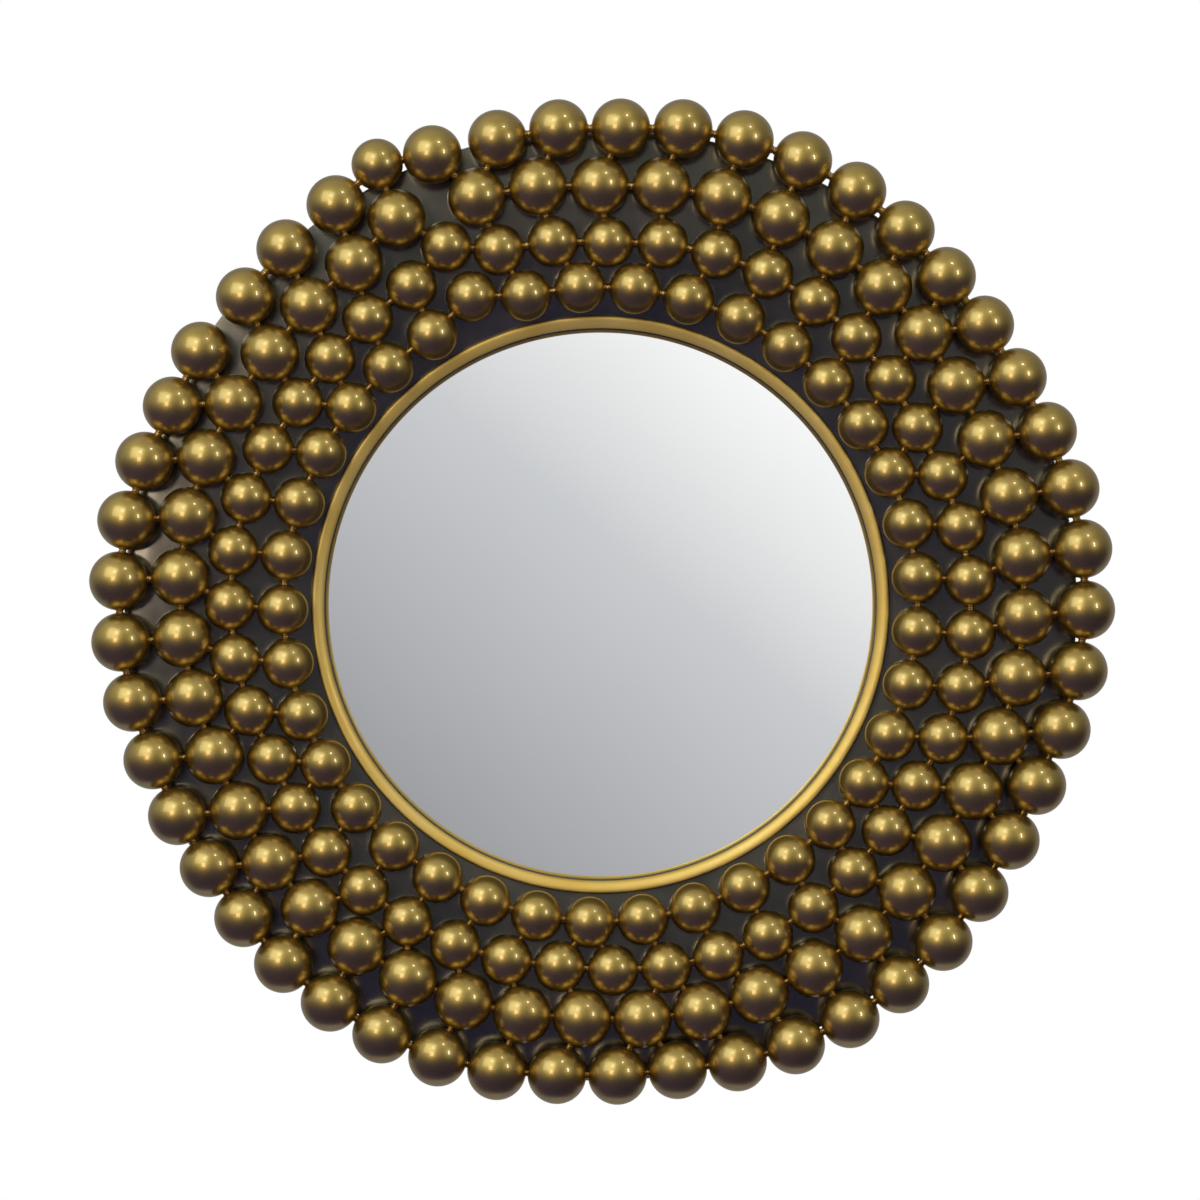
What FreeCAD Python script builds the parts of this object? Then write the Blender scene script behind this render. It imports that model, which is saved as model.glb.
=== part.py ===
import FreeCAD, Part
import Sketcher
import math
import os
from collections import namedtuple

# A convex wall mirror in a frame of four rings of round metal balls.
#
# Frame of the model: +X to the right, +Z up, +Y towards the wall. The wall is the plane y = 0, and the
# origin is the point of it on the mirror's axis. The mirror faces -Y. Millimetres throughout.
#
# How it is built: a turned sheet-metal tray holds the convex glass, which sits on a felt tape behind the
# tray's front lip and is pressed there by a foam ring and a backing board. Six angle brackets and their
# screws hold the board. A round bead hides the lip. A flat ring plate around the tray carries four rings
# of balls, welded ball to ball and ring to ring. Two D-rings on folded straps hang it on the wall, and a
# felt ring on the tray's rear flange rests against the wall.

Vector = FreeCAD.Vector
Rotation = FreeCAD.Rotation
Placement = FreeCAD.Placement
ALONG_Y = Rotation(Vector(1, 0, 0), -90)     # turns a primitive's own Z axis onto +Y
ALONG_X = Rotation(Vector(0, 1, 0), 90)      # turns a primitive's own Z axis onto +X
FULL_TURN = 2 * math.pi
TOP = 90.0                                   # ring angles run anticlockwise from +X, seen from the front

doc = FreeCAD.newDocument("butlers_mirror")

# ---------------------------------------------------------------------------------------------------
# Driving dimensions
# ---------------------------------------------------------------------------------------------------

SIZES = (
    # balls: two stock sizes, measured on the outside
    ("big_ball_diameter", 40.0),
    ("small_ball_diameter", 35.0),
    # gaps between neighbours that a weld bridges, along a ring and from ring to ring
    ("small_chain_gap", 1.68),
    ("second_chain_gap", 1.36),
    ("outer_chain_gap", 1.52),
    ("inner_step_gap", 1.0),
    ("middle_step_gap", 1.1),
    ("outer_step_gap", 1.54),
    ("inner_squeeze_gap", 1.9),
    ("third_squeeze_gap", 0.4),
    # laid by hand, the balls sit a little further apart at the top than at the bottom
    ("pitch_swing", 0.0145),
    ("pitch_swing_angle", 94.0),
    # where each ring was started; it is laid clockwise from there
    ("inner_start_angle", 103.6),
    ("third_start_angle", 106.0),
    ("second_start_angle", 106.9),
    ("outer_start_angle", 102.5),
    # the outer ring's last balls, laid the other way from its first and spread over the space left; the
    # small ball that closes the ring is a little wider than the room between the two beside it
    ("seam_gap_one", 5.26),
    ("closing_squeeze", 1.44),
    ("seam_gap_two", 5.18),
    ("seam_gap_three", 2.54),
    ("closing_lean", 0.1),
    ("closing_gap", 0.5),
    # welds
    ("weld_root_radius", 3.1),
    ("weld_waist_radius", 2.5),
    ("weld_seat", 0.08),
    ("widest_weld", 2.6),
    # mirror glass, cut from a blown sphere
    ("glass_radius", 189.7),
    ("glass_thickness", 3.0),
    ("glass_curve", 1000.0),
    ("glass_clearance", 0.5),
    # bead around the glass
    ("bead_radius", 4.1),
    ("bead_offset", 1.9),
    ("bead_to_ball_gap", 2.18),
    # tray
    ("tray_sheet", 1.5),
    ("lip_overlap", 2.0),
    ("flange_width", 10.0),
    ("recess_depth", 6.0),
    # what holds the glass in the tray
    ("tape_thickness", 1.5),
    ("foam_thickness", 3.0),
    ("foam_width", 13.0),
    ("board_thickness", 9.0),
    ("felt_thickness", 1.5),
    # ring plate; its edge lies this far inside the outer row, if the four rows stood in line
    ("plate_inset", 4.38),
    ("plate_thickness", 2.0),
    ("plate_fit", 0.1),
    # angle brackets on the board
    ("bracket_width", 14.0),
    ("bracket_sheet", 1.2),
    ("bracket_reach", 20.0),
    ("bracket_rise", 4.2),
    ("bracket_bend", 0.8),
    ("bracket_clearance", 0.2),
    ("bracket_screw_inset", 12.0),
    # wood screws
    ("screw_shank_radius", 1.75),
    ("screw_length", 9.5),
    ("screw_point", 2.5),
    ("screw_blunt_radius", 0.4),
    ("screw_head_radius", 3.6),
    ("screw_head_height", 2.0),
    ("screw_fit", 0.05),
    # D-ring hangers
    ("hanger_spacing", 220.0),
    ("hanger_height", 95.0),
    ("strap_sheet", 1.0),
    ("strap_width", 10.0),
    ("strap_length", 15.0),
    ("strap_screw_drop", 9.0),
    ("ring_wire_radius", 1.5),
    ("ring_half_width", 12.5),
    ("ring_height", 23.5),
    ("ring_corner", 3.5),
    ("ring_play", 0.1),
)

sizes = doc.addObject("Spreadsheet::Sheet", "Sizes")
for row, (alias, value) in enumerate(SIZES, 1):
    sizes.set("A%d" % row, alias)
    sizes.set("B%d" % row, str(value))
    sizes.setAlias("B%d" % row, alias)
doc.recompute()

# Places that follow from the driving dimensions. Depths are y coordinates, so forward is more negative.
PLACES = (
    ("big_radius", "Sizes.big_ball_diameter / 2"),
    ("small_radius", "Sizes.small_ball_diameter / 2"),
    ("flange_rear", "-Sizes.felt_thickness"),
    ("flange_front", "Places.flange_rear - Sizes.tray_sheet"),
    ("board_rear", "Places.flange_rear - Sizes.recess_depth"),
    ("board_front", "Places.board_rear - Sizes.board_thickness"),
    ("glass_back_edge", "Places.board_front - Sizes.foam_thickness"),
    ("back_curve", "Sizes.glass_curve - Sizes.glass_thickness"),
    ("curve_centre", "Places.glass_back_edge + sqrt(Places.back_curve^2 - Sizes.glass_radius^2)"),
    ("glass_front_edge", "Places.curve_centre - sqrt(Sizes.glass_curve^2 - Sizes.glass_radius^2)"),
    ("glass_apex", "Places.curve_centre - Sizes.glass_curve"),
    ("lip_rear", "Places.glass_front_edge - Sizes.tape_thickness"),
    ("plate_front", "Places.lip_rear - Sizes.tray_sheet"),
    ("plate_rear", "Places.plate_front + Sizes.plate_thickness"),
    ("bead_depth", "Places.plate_front - Sizes.bead_radius"),
    ("bead_ring_radius", "Sizes.glass_radius + Sizes.bead_offset"),
    ("wall_inner", "Sizes.glass_radius + Sizes.glass_clearance"),
    ("wall_outer", "Places.wall_inner + Sizes.tray_sheet"),
    ("lip_inner", "Sizes.glass_radius - Sizes.lip_overlap"),
    ("flange_outer", "Places.wall_outer + Sizes.flange_width"),
    ("plate_hole", "Places.wall_outer + Sizes.plate_fit"),
    ("foam_inner", "Sizes.glass_radius - Sizes.foam_width"),
    ("inner_ring_radius", "Places.bead_ring_radius + Sizes.bead_radius + Sizes.bead_to_ball_gap"
                          " + Places.small_radius"),
    ("plate_outer_radius", "Places.inner_ring_radius + 1.5 * Sizes.small_ball_diameter"
                           " + 1.5 * Sizes.big_ball_diameter - Sizes.plate_inset"),
    ("closing_room", "Sizes.small_ball_diameter - Sizes.closing_squeeze"),
    ("bracket_outer", "sqrt(Places.wall_inner^2 - (Sizes.bracket_width / 2)^2) - Sizes.bracket_clearance"),
    ("bracket_screw_radius", "Places.bracket_outer - Sizes.bracket_screw_inset"),
    ("bracket_top", "Places.board_rear + Sizes.bracket_sheet"),
    ("pilot_radius", "Sizes.screw_shank_radius + Sizes.screw_fit"),
    ("eye_inner", "Sizes.ring_wire_radius + Sizes.ring_play"),
    ("eye_outer", "Places.eye_inner + Sizes.strap_sheet"),
    ("eye_depth", "Places.board_rear + Places.eye_outer"),
    ("strap_top", "Places.board_rear + 2 * Sizes.strap_sheet"),
    ("strap_screw_height", "Sizes.hanger_height - Sizes.strap_screw_drop"),
)

places = doc.addObject("Spreadsheet::Sheet", "Places")
for row, (alias, formula) in enumerate(PLACES, 1):
    places.set("A%d" % row, alias)
    places.set("B%d" % row, "=" + formula.replace("Places.", ""))
    places.setAlias("B%d" % row, alias)
doc.recompute()


def size(alias):
    return float(sizes.get(alias))


def place(alias):
    return float(places.get(alias))


# ---------------------------------------------------------------------------------------------------
# Ways of making a piece
# ---------------------------------------------------------------------------------------------------

nodes = []


def node(piece, name):
    """Name a finished sub-part, so that it is checked and written at the end."""
    piece.Label = name
    nodes.append(piece)
    return piece


def bound(piece, **expressions):
    """Bind properties to the sheets. A double underscore in a name stands for a dot."""
    for prop, expression in expressions.items():
        piece.setExpression(prop.replace("__", "."), expression)
    return piece


def primitive(kind, name, rotation=None, **expressions):
    """A Part primitive whose sizes and place are bound to the sheets."""
    piece = doc.addObject("Part::" + kind, name)
    if rotation is not None:
        piece.Placement = Placement(Vector(), rotation)
    return bound(piece, **expressions)


def combined(kind, name, base, tool):
    """Part::Cut or Part::Common of two objects."""
    piece = doc.addObject("Part::" + kind, name)
    piece.Base = base
    piece.Tool = tool
    return piece


def fused(name, shapes):
    piece = doc.addObject("Part::MultiFuse", name)
    piece.Shapes = shapes
    return piece


def solids(name, shapes):
    """Alike loose pieces that share one sub-part, each its own solid."""
    piece = doc.addObject("Part::Feature", name)
    piece.Shape = Part.makeCompound(shapes)
    return piece


def outline_sketch(body, name, role, corners):
    """A closed sketch of straight lines whose corners stay at the places that their expressions give."""
    sketch = body.newObject("Sketcher::SketchObject", name)
    plane = next(f for f in body.Origin.OriginFeatures if f.Role == role)
    sketch.AttachmentSupport = [(plane, "")]
    sketch.MapMode = "FlatFace"
    points = [Vector(sketch.evalExpression(across), sketch.evalExpression(up), 0) for across, up in corners]
    count = len(points)
    for i in range(count):
        sketch.addGeometry(Part.LineSegment(points[i], points[(i + 1) % count]), False)
    for i in range(count):
        sketch.addConstraint(Sketcher.Constraint("Coincident", i, 2, (i + 1) % count, 1))
    for i, (across, up) in enumerate(corners):
        for kind, expression, value in (("DistanceX", across, points[i].x), ("DistanceY", up, points[i].y)):
            index = sketch.addConstraint(Sketcher.Constraint(kind, -1, 1, i, 1, value))
            sketch.setExpression("Constraints[%d]" % index, expression)
    return sketch


def turned(name, corners):
    """A body turned about the mirror's axis. Each corner is its radius and its depth."""
    body = doc.addObject("PartDesign::Body", name)
    sketch = outline_sketch(body, name + "_profile", "XY_Plane", corners)
    turning = body.newObject("PartDesign::Revolution", name + "_turning")
    turning.Profile = sketch
    turning.ReferenceAxis = (sketch, ["V_Axis"])
    turning.Angle = 360
    return body


def washer(name, inner, outer, front, rear):
    """A flat turned ring, or a disc where its inner radius is zero."""
    return turned(name, ((inner, front), (outer, front), (outer, rear), (inner, rear)))


# ---------------------------------------------------------------------------------------------------
# The four rings of balls
# ---------------------------------------------------------------------------------------------------

# A ball stands on the ring plate. Its place is an angle in radians and the distance of its centre from
# the mirror's axis.
Ball = namedtuple("Ball", "angle reach radius")


def plan_distance(one, other):
    return math.sqrt(one.reach ** 2 + other.reach ** 2
                     - 2 * one.reach * other.reach * math.cos(one.angle - other.angle))


def contact_distance(radius, other_radius, gap):
    """Distance in plan between two balls on the plate with a gap between their surfaces."""
    return math.sqrt((radius + other_radius + gap) ** 2 - (radius - other_radius) ** 2)


def resting_reach(angle, radius, supports, gap):
    """How far out a ball at this angle lies when it is pushed in against the balls that support it."""
    reach = 0.0
    for ball in supports:
        distance = contact_distance(radius, ball.radius, gap)
        aside = ball.reach * math.sin(angle - ball.angle)
        ahead = ball.reach * math.cos(angle - ball.angle)
        if ahead > 0 and abs(aside) < distance:
            reach = max(reach, ahead + math.sqrt(distance ** 2 - aside ** 2))
    return reach


def ball_beside(last, pitch, reach_at, turn):
    """The ball one pitch from the last, clockwise where turn is -1 and anticlockwise where it is 1.

    reach_at(angle) gives a ball's distance from the axis.
    """
    near = last.angle + turn * 0.5 * pitch / last.reach
    far = last.angle + turn * 1.5 * pitch / last.reach
    for _ in range(40):
        middle = (near + far) / 2
        if plan_distance(last, Ball(middle, reach_at(middle), last.radius)) < pitch:
            near = middle
        else:
            far = middle
    return Ball(far, reach_at(far), last.radius)


def lay_ring(start_degrees, radius, gap, reach_at, blocked):
    """Lay balls clockwise, each one pitch from the last, until blocked(ball, ring) says to stop."""
    swing = size("pitch_swing")
    swing_angle = math.radians(size("pitch_swing_angle"))
    start = math.radians(start_degrees)
    ring = [Ball(start, reach_at(start), radius)]
    while True:
        last = ring[-1]
        pitch = (2 * radius + gap) * (1 + swing * math.cos(last.angle - swing_angle))
        ball = ball_beside(last, pitch, reach_at, -1)
        if blocked(ball, ring):
            return ring
        ring.append(ball)


def meets_start(ball, ring):
    """Has the ring come round to its first ball?"""
    first = ring[0]
    gone_round = first.angle - ball.angle > FULL_TURN / 2
    return gone_round and plan_distance(ball, first) < 2 * ball.radius


def squeeze_in(ring, gap, reach_at):
    """Close a ring with one more ball, squeezed out between its first and its last."""
    first = ring[0]
    last = ring[-1]
    angle = (first.angle - FULL_TURN + last.angle) / 2
    squeezed = resting_reach(angle, first.radius, (first, last), gap)
    return ring + [Ball(angle, max(reach_at(angle), squeezed), first.radius)]


def lay_inner_ring():
    """The innermost ring is a true circle but for the ball that closes it."""
    circle = place("inner_ring_radius")
    ring = lay_ring(size("inner_start_angle"), place("small_radius"), size("small_chain_gap"),
                    lambda angle: circle, meets_start)
    return squeeze_in(ring, size("inner_squeeze_gap"), lambda angle: circle)


def lay_third_ring(inner):
    """Laid tight around the inner ring, with its closing ball just outside the inner one's."""
    radius = place("small_radius")

    def reach_at(angle):
        return resting_reach(angle, radius, inner, size("inner_step_gap"))

    ring = lay_ring(size("third_start_angle"), radius, size("small_chain_gap"), reach_at, meets_start)
    return squeeze_in(ring, size("third_squeeze_gap"), reach_at)


def lay_second_ring(inner):
    """Big balls laid tight around the small ones. The last rides up on the third ring's closing ball."""
    radius = place("big_radius")

    def reach_at(angle):
        return resting_reach(angle, radius, inner, size("middle_step_gap"))

    return lay_ring(size("second_start_angle"), radius, size("second_chain_gap"), reach_at, meets_start)


def lay_outer_ring(inner):
    """The outer ring ends at a seam, where its last big balls are spread out over the space left."""
    radius = place("big_radius")

    def reach_at(angle):
        return resting_reach(angle, radius, inner, size("outer_step_gap"))

    start = math.radians(size("outer_start_angle"))
    seam = [Ball(start, reach_at(start), radius)]
    for gap in (size("seam_gap_one"), place("closing_room"), size("seam_gap_two"), size("seam_gap_three")):
        seam.append(ball_beside(seam[-1], 2 * radius + gap, reach_at, 1))

    def meets_seam(ball, ring):
        return plan_distance(ball, seam[-1]) < 2 * radius

    ring = lay_ring(size("outer_start_angle"), radius, size("outer_chain_gap"), reach_at, meets_seam)
    return ring + seam[:0:-1]


def lay_closing_ball(inner, outer):
    """One small ball fills the room that the outer ring's last two balls leave between them."""
    radius = place("small_radius")
    beside = outer[-2:]
    angle = (beside[0].angle + beside[1].angle) / 2 - math.radians(size("closing_lean"))
    reach = max(resting_reach(angle, radius, inner, size("middle_step_gap")),
                resting_reach(angle, radius, beside, size("closing_gap")))
    return Ball(angle, reach, radius)


def centre(ball):
    """Centre of a ball that stands on the front of the ring plate."""
    return Vector(ball.reach * math.cos(ball.angle), place("plate_front") - ball.radius,
                  ball.reach * math.sin(ball.angle))


def ball_group(name, balls, radius_place):
    """One Part::Sphere for each ball, gathered under one name."""
    spheres = []
    for number, ball in enumerate(balls, 1):
        sphere = primitive("Sphere", "%s_%d" % (name, number), Radius="Places." + radius_place)
        sphere.Placement.Base = centre(ball)
        spheres.append(sphere)
    if len(spheres) == 1:
        return node(spheres[0], name)
    group = doc.addObject("Part::Compound", name)
    group.Links = spheres
    return node(group, name)


def weld(ball, other):
    """A waisted weld between two balls, dished at both ends where it sits on them."""
    start = centre(ball)
    span = centre(other) - start
    root = size("weld_root_radius")
    foot = ball.radius + size("weld_seat")
    other_foot = other.radius + size("weld_seat")
    rim = math.sqrt(foot ** 2 - root ** 2)
    other_rim = span.Length - math.sqrt(other_foot ** 2 - root ** 2)
    corners = (Vector(0, 0, foot), Vector(root, 0, rim),
               Vector(size("weld_waist_radius"), 0, (rim + other_rim) / 2),
               Vector(root, 0, other_rim), Vector(0, 0, span.Length - other_foot), Vector(0, 0, foot))
    spool = Part.Face(Part.makePolygon(corners)).revolve(Vector(), Vector(0, 0, 1), 360)
    spool.Placement = Placement(start, Rotation(Vector(0, 0, 1), span))
    return spool


def gap_between(ball, other):
    return (centre(other) - centre(ball)).Length - ball.radius - other.radius


def chain_welds(ring):
    """A weld between each ball and the next, wherever one can bridge the gap."""
    pairs = zip(ring, ring[1:] + ring[:1])
    return [weld(*pair) for pair in pairs if gap_between(*pair) <= size("widest_weld")]


def step_welds(inner, outer):
    """A weld from each ball of a ring to the nearest ball of the ring inside it."""
    welds = []
    for ball in outer:
        nearest = min(inner, key=lambda other: gap_between(ball, other))
        if gap_between(ball, nearest) <= size("widest_weld"):
            welds.append(weld(ball, nearest))
    return welds


def make_balls_and_welds():
    inner = lay_inner_ring()
    third = lay_third_ring(inner)
    second = lay_second_ring(third)
    outer = lay_outer_ring(second)
    closing = lay_closing_ball(second, outer)
    print("balls:", len(inner), len(third), len(second), len(outer), "and 1 small one")
    ball_group("inner_ring_balls", inner, "small_radius")
    ball_group("third_ring_balls", third, "small_radius")
    ball_group("second_ring_balls", second, "big_radius")
    ball_group("outer_ring_balls", outer, "big_radius")
    ball_group("outer_closing_ball", [closing], "small_radius")
    whole_outer = outer[:-1] + [closing] + outer[-1:]
    for name, welds in (
            ("inner_ring_welds", chain_welds(inner)),
            ("third_ring_welds", chain_welds(third)),
            ("second_ring_welds", chain_welds(second)),
            ("outer_ring_welds", chain_welds(whole_outer)),
            ("inner_step_welds", step_welds(inner, third)),
            ("middle_step_welds", step_welds(third, second)),
            ("outer_step_welds", step_welds(second, outer + [closing]))):
        node(solids(name, welds), name)


# ---------------------------------------------------------------------------------------------------
# Tray, bead and ring plate
# ---------------------------------------------------------------------------------------------------


def make_mirror_tray():
    """Turned sheet: a lip in front of the glass, a straight wall and a flange turned out at the wall."""
    lip, wall_in, wall_out, flange = ("Places.lip_inner", "Places.wall_inner", "Places.wall_outer",
                                      "Places.flange_outer")
    node(turned("mirror_tray", (
        (lip, "Places.plate_front"),
        (wall_out, "Places.plate_front"),
        (wall_out, "Places.flange_front"),
        (flange, "Places.flange_front"),
        (flange, "Places.flange_rear"),
        (wall_in, "Places.flange_rear"),
        (wall_in, "Places.lip_rear"),
        (lip, "Places.lip_rear"))), "mirror_tray")


def make_bead():
    """Round rod bent to a ring, seated on the seam between lip and ring plate."""
    bead = primitive("Torus", "mirror_bead", ALONG_Y, Radius1="Places.bead_ring_radius",
                     Radius2="Sizes.bead_radius", Placement__Base__y="Places.bead_depth")
    node(bead, "mirror_bead")


def make_ring_plate():
    node(washer("ring_plate", "Places.plate_hole", "Places.plate_outer_radius", "Places.plate_front",
                "Places.plate_rear"), "ring_plate")


# ---------------------------------------------------------------------------------------------------
# The glass and what holds it
# ---------------------------------------------------------------------------------------------------


def curve_sphere(name, radius):
    """A sphere about the centre of the glass's curve, which lies far behind the wall."""
    return primitive("Sphere", name, Radius=radius, Placement__Base__y="Places.curve_centre")


def make_glass():
    """A cap of a glass sphere, cut round."""
    shell = combined("Cut", "glass_sphere", curve_sphere("glass_front_curve", "Sizes.glass_curve"),
                     curve_sphere("glass_back_curve", "Places.back_curve"))
    cutter = primitive("Cylinder", "glass_cutter", ALONG_Y, Radius="Sizes.glass_radius",
                       Height="Places.board_front - Places.glass_apex + Sizes.glass_thickness",
                       Placement__Base__y="Places.glass_apex - Sizes.glass_thickness")
    node(combined("Common", "convex_glass", shell, cutter), "convex_glass")


def make_edge_tape():
    """Felt tape between the tray's lip and the front of the glass, which it follows."""
    blank = washer("tape_blank", "Places.lip_inner", "Sizes.glass_radius", "Places.lip_rear",
                   "Places.glass_front_edge")
    curve = curve_sphere("tape_curve", "Sizes.glass_curve")
    node(combined("Cut", "glass_edge_tape", blank, curve), "glass_edge_tape")


def make_foam_ring():
    """Foam between the board and the back of the glass, whose curve its front takes."""
    blank = washer("foam_blank", "Places.foam_inner", "Sizes.glass_radius",
                   "Places.glass_back_edge - Sizes.foam_width", "Places.board_front")
    curve = curve_sphere("foam_curve", "Places.back_curve")
    node(combined("Common", "foam_ring", blank, curve), "foam_ring")


def bracket_angles():
    return [TOP + step * 60 for step in range(6)]


def about_axis(shape, degrees):
    """A copy of a shape made at the top of the mirror, turned to another ring angle."""
    copy = shape.copy()
    copy.rotate(Vector(), Vector(0, 1, 0), TOP - degrees)
    return copy


def make_backing_board():
    """Hardboard disc with a pilot hole for each bracket screw and each hanger screw."""
    disc = primitive("Cylinder", "board_disc", ALONG_Y, Radius="Sizes.glass_radius",
                     Height="Sizes.board_thickness", Placement__Base__y="Places.board_front")
    drills = []
    for degrees in bracket_angles():
        angle = math.radians(degrees)
        drills.append(pilot_drill("Places.bracket_screw_radius * %.6f" % math.cos(angle),
                                  "Places.bracket_screw_radius * %.6f" % math.sin(angle)))
    for side in (-1, 1):
        drills.append(pilot_drill("Sizes.hanger_spacing / 2 * %d" % side, "Places.strap_screw_height"))
    node(combined("Cut", "backing_board", disc, fused("board_drills", drills)), "backing_board")


def pilot_drill(across, up):
    return primitive("Cylinder", "pilot_drill", ALONG_Y, Radius="Places.pilot_radius",
                     Height="Sizes.board_thickness + 2", Placement__Base__x=across,
                     Placement__Base__y="Places.board_front - 1", Placement__Base__z=up)


def make_brackets():
    """Six bent angles: one leg on the board under a screw, the other against the tray's wall."""
    body = doc.addObject("PartDesign::Body", "bracket_body")
    inner_end = "Places.bracket_outer - Sizes.bracket_reach"
    wall_side = "Places.bracket_outer - Sizes.bracket_sheet"
    tip = "Places.bracket_top + Sizes.bracket_rise"
    profile = outline_sketch(body, "bracket_profile", "YZ_Plane", (
        ("Places.board_rear", inner_end),
        ("Places.board_rear", "Places.bracket_outer"),
        (tip, "Places.bracket_outer"),
        (tip, wall_side),
        ("Places.bracket_top", wall_side),
        ("Places.bracket_top", inner_end)))
    strip = body.newObject("PartDesign::Pad", "bracket_strip")
    strip.Profile = profile
    strip.Midplane = True
    strip.setExpression("Length", "Sizes.bracket_width")
    doc.recompute()
    bend = body.newObject("PartDesign::Fillet", "bracket_bend")
    bend.Base = (strip, [bend_edge(strip.Shape, place("bracket_top"), place("bracket_outer")
                                   - size("bracket_sheet"))])
    bend.setExpression("Radius", "Sizes.bracket_bend")
    doc.recompute()
    drill = Part.makeCylinder(place("pilot_radius"), size("bracket_sheet") * 3,
                              Vector(0, place("board_rear") - size("bracket_sheet"),
                                     place("bracket_screw_radius")), Vector(0, 1, 0))
    bracket = body.Shape.cut(drill)
    node(solids("board_brackets", [about_axis(bracket, degrees) for degrees in bracket_angles()]),
         "board_brackets")


def bend_edge(shape, depth, height):
    """Name of the edge whose middle lies at this depth and height, halfway along the bend."""
    inner_bend = Vector(0, depth, height)
    nearest = min(shape.Edges, key=lambda edge: edge.CenterOfMass.distanceToPoint(inner_bend))
    number = next(n for n, edge in enumerate(shape.Edges, 1) if edge.isSame(nearest))
    return "Edge%d" % number


def screw_shape(seat):
    """A pan-head wood screw along the mirror's axis, its head on the plane y = seat, pointing forward."""
    head = size("screw_head_radius")
    shank = size("screw_shank_radius")
    blunt = size("screw_blunt_radius")
    crown = seat + size("screw_head_height")
    tip = seat - size("screw_length")
    rim = seat + 0.35 * size("screw_head_height")
    corners = [Vector(0, crown, 0), Vector(0, tip, 0), Vector(blunt, tip, 0),
               Vector(shank, tip + size("screw_point"), 0), Vector(shank, seat, 0), Vector(head, seat, 0),
               Vector(head, rim, 0)]
    edges = [Part.makeLine(a, b) for a, b in zip(corners, corners[1:])]
    flat = Vector(0.3 * head, crown, 0)
    shoulder = Vector(0.8 * head, seat + 0.8 * size("screw_head_height"), 0)
    edges.append(Part.Arc(corners[-1], shoulder, flat).toShape())
    edges.append(Part.makeLine(flat, corners[0]))
    return Part.Face(Part.Wire(edges)).revolve(Vector(), Vector(0, 1, 0), 360)


def make_bracket_screws():
    screw = screw_shape(place("bracket_top"))
    screw.translate(Vector(0, 0, place("bracket_screw_radius")))
    node(solids("bracket_screws", [about_axis(screw, degrees) for degrees in bracket_angles()]),
         "bracket_screws")


# ---------------------------------------------------------------------------------------------------
# Hangers
# ---------------------------------------------------------------------------------------------------


def make_hanger(side_name, side):
    """A strap folded round the bar of a D-ring, screwed to the board, and the ring that swings in it."""
    across = "Sizes.hanger_spacing / 2 * %d" % side
    left_edge = across + " - Sizes.strap_width / 2"
    eye = primitive("Cylinder", "strap_eye", ALONG_X, Radius="Places.eye_outer",
                    Height="Sizes.strap_width", Placement__Base__x=left_edge,
                    Placement__Base__y="Places.eye_depth", Placement__Base__z="Sizes.hanger_height")
    tail = primitive("Box", "strap_tail", Length="Sizes.strap_width", Width="2 * Sizes.strap_sheet",
                     Height="Sizes.strap_length", Placement__Base__x=left_edge,
                     Placement__Base__y="Places.board_rear",
                     Placement__Base__z="Sizes.hanger_height - Sizes.strap_length")
    bar_hole = primitive("Cylinder", "strap_bar_hole", ALONG_X, Radius="Places.eye_inner",
                         Height="Sizes.strap_width + 2", Placement__Base__x=left_edge + " - 1",
                         Placement__Base__y="Places.eye_depth", Placement__Base__z="Sizes.hanger_height")
    screw_hole = primitive("Cylinder", "strap_screw_hole", ALONG_Y, Radius="Places.pilot_radius",
                           Height="4 * Sizes.strap_sheet", Placement__Base__x=across,
                           Placement__Base__y="Places.board_rear - Sizes.strap_sheet",
                           Placement__Base__z="Places.strap_screw_height")
    strap = combined("Cut", side_name + "_strap", fused("strap_blank", [eye, tail]),
                     fused("strap_holes", [bar_hole, screw_hole]))
    node(strap, side_name + "_hanger_strap")
    node(make_d_ring(side_name, across), side_name + "_d_ring")


def ring_tube(name, rotation, across, up, length):
    return primitive("Cylinder", name, rotation, Radius="Sizes.ring_wire_radius", Height=length,
                     Placement__Base__x=across, Placement__Base__y="Places.eye_depth",
                     Placement__Base__z=up)


def ring_bend(name, rotation, across, up, radius, degrees):
    bend = primitive("Torus", name, rotation, Radius1=radius, Radius2="Sizes.ring_wire_radius",
                     Placement__Base__x=across, Placement__Base__y="Places.eye_depth",
                     Placement__Base__z=up)
    bend.Angle3 = degrees
    return bend


def make_d_ring(side_name, across):
    """A wire ring that hangs by its straight bar: bar, two rounded corners, two legs and a half round."""
    left = across + " - Sizes.ring_half_width"
    right = across + " + Sizes.ring_half_width"
    corner_height = "Sizes.hanger_height - Sizes.ring_corner"
    bow_height = "Sizes.hanger_height - Sizes.ring_height + Sizes.ring_half_width"
    leg_length = "Sizes.ring_height - Sizes.ring_half_width - Sizes.ring_corner"
    pieces = [ring_tube("ring_bar", ALONG_X, left + " + Sizes.ring_corner", "Sizes.hanger_height",
                        "2 * (Sizes.ring_half_width - Sizes.ring_corner)")]
    for edge, inward, start in ((left, " + Sizes.ring_corner", 180), (right, " - Sizes.ring_corner", 270)):
        pieces.append(ring_tube("ring_leg", Rotation(), edge, bow_height, leg_length))
        pieces.append(ring_bend("ring_bend", ALONG_Y * Rotation(Vector(0, 0, 1), start), edge + inward,
                                corner_height, "Sizes.ring_corner", 90))
    pieces.append(ring_bend("ring_bow", ALONG_Y, across, bow_height, "Sizes.ring_half_width", 180))
    return fused(side_name + "_ring", pieces)


def make_hanger_screws():
    screws = []
    for side in (-1, 1):
        screw = screw_shape(place("strap_top"))
        screw.translate(Vector(side * size("hanger_spacing") / 2, 0, place("strap_screw_height")))
        screws.append(screw)
    node(solids("hanger_screws", screws), "hanger_screws")


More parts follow.
